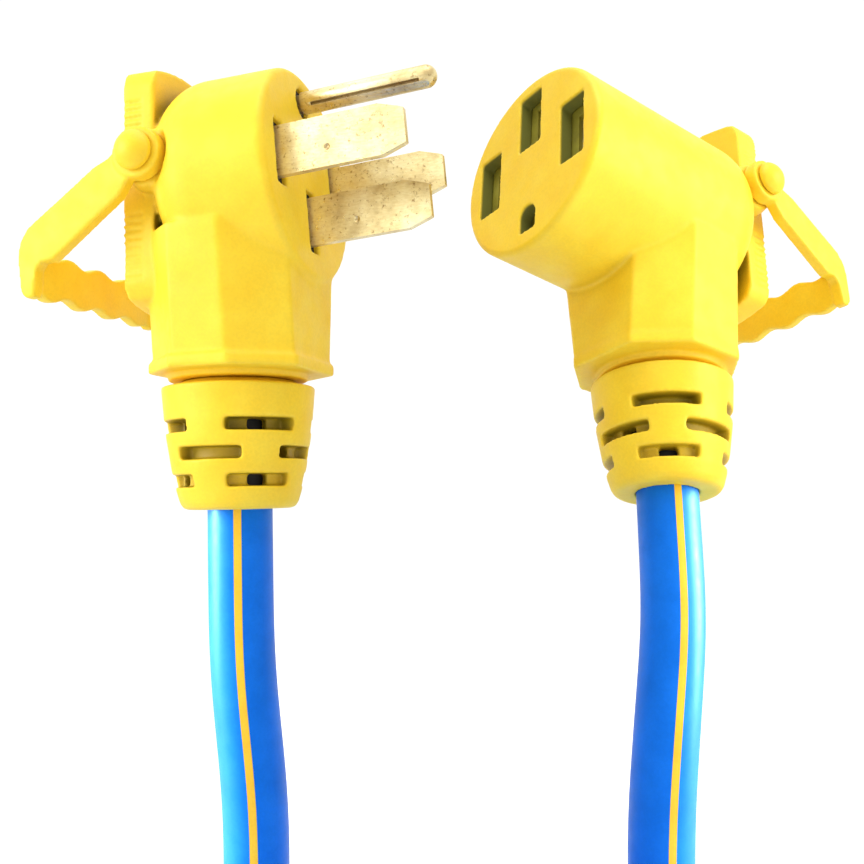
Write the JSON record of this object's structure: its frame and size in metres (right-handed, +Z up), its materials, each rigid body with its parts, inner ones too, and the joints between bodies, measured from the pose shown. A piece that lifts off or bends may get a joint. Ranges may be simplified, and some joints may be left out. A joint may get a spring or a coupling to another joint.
{
  "type": "shore power cord",
  "caption": "Yellow angled four-pole plug and connector with folding bail handles, joined by a coiled blue power cord, for feeding a recreational vehicle from a supply post.",
  "frame": {"origin": "centre of the bounding box footprint, on the floor under the coil", "axes": "+Z up; -Y towards the side on which both heads show their faces; +X from the plug to the connector"},
  "size_m": [0.271, 0.3326, 0.2928],
  "materials": {
    "yellow_moulding": "smooth satin moulding",
    "black_moulding": "dull",
    "olive_moulding": "dull insert behind the face",
    "stripe": "satin",
    "blue_jacket": "satin",
    "tinned_copper": "dull tin",
    "filler_yarn": "fibrous",
    "insulation_black": "smooth",
    "insulation_red": "smooth",
    "insulation_white": "smooth",
    "insulation_green": "smooth",
    "brass": "lightly tarnished"
  },
  "bodies": {
    "cord": {"cord_jacket": "blue_jacket", "cord_stripe": "stripe", "cord_filler": "filler_yarn", "cord_conductor_black": "insulation_black", "cord_conductor_red": "insulation_red", "cord_conductor_white": "insulation_white", "cord_conductor_green": "insulation_green"},
    "plug_head": {"plug_shell": "yellow_moulding", "plug_strain_relief": "yellow_moulding", "plug_inner_sleeve": "black_moulding", "plug_core": "black_moulding", "plug_line_blade_x": "brass", "plug_line_blade_y": "brass", "plug_neutral_blade": "brass", "plug_ground_pin": "brass", "plug_ferrules": "tinned_copper", "plug_lead_black": "insulation_black", "plug_lead_red": "insulation_red", "plug_lead_white": "insulation_white", "plug_lead_green": "insulation_green", "plug_cord_stub": "blue_jacket", "plug_stub_stripe": "stripe", "plug_pivot_pins": "yellow_moulding"},
    "plug_handle": {"plug_handle": "yellow_moulding"},
    "connector_head": {"connector_shell": "yellow_moulding", "connector_strain_relief": "yellow_moulding", "connector_inner_sleeve": "black_moulding", "connector_core": "olive_moulding", "connector_line_contact_x": "brass", "connector_line_contact_y": "brass", "connector_neutral_contact": "brass", "connector_ground_sleeve": "brass", "connector_ferrules": "tinned_copper", "connector_lead_black": "insulation_black", "connector_lead_red": "insulation_red", "connector_lead_white": "insulation_white", "connector_lead_green": "insulation_green", "connector_cord_stub": "blue_jacket", "connector_stub_stripe": "stripe", "connector_pivot_pins": "yellow_moulding"},
    "connector_handle": {"connector_handle": "yellow_moulding"}
  },
  "joints": [
    {"name": "plug_cord_flex", "type": "hinge", "parent": "cord", "child": "plug_head", "pos_m": [-0.0425, 0.01075, 0.145], "axis": [1, 0, 0], "range_deg": [-30, 30], "stiffness_Nm_per_rad": 1.2},
    {"name": "connector_cord_flex", "type": "hinge", "parent": "cord", "child": "connector_head", "pos_m": [0.0663, 0.01355, 0.1499], "axis": [1, 0, 0], "range_deg": [-14, 40], "stiffness_Nm_per_rad": 1.2},
    {"name": "plug_handle_pivot", "type": "hinge", "parent": "plug_head", "child": "plug_handle", "pos_m": [-0.05679, 0.01423, 0.25893], "axis": [0.2806, 0.9598, 0.0059], "range_deg": [-26, 95]},
    {"name": "connector_handle_pivot", "type": "hinge", "parent": "connector_head", "child": "connector_handle", "pos_m": [0.085, 0.0578, 0.26174], "axis": [0.5766, -0.7881, 0.2155], "range_deg": [-30, 91]}
  ]
}
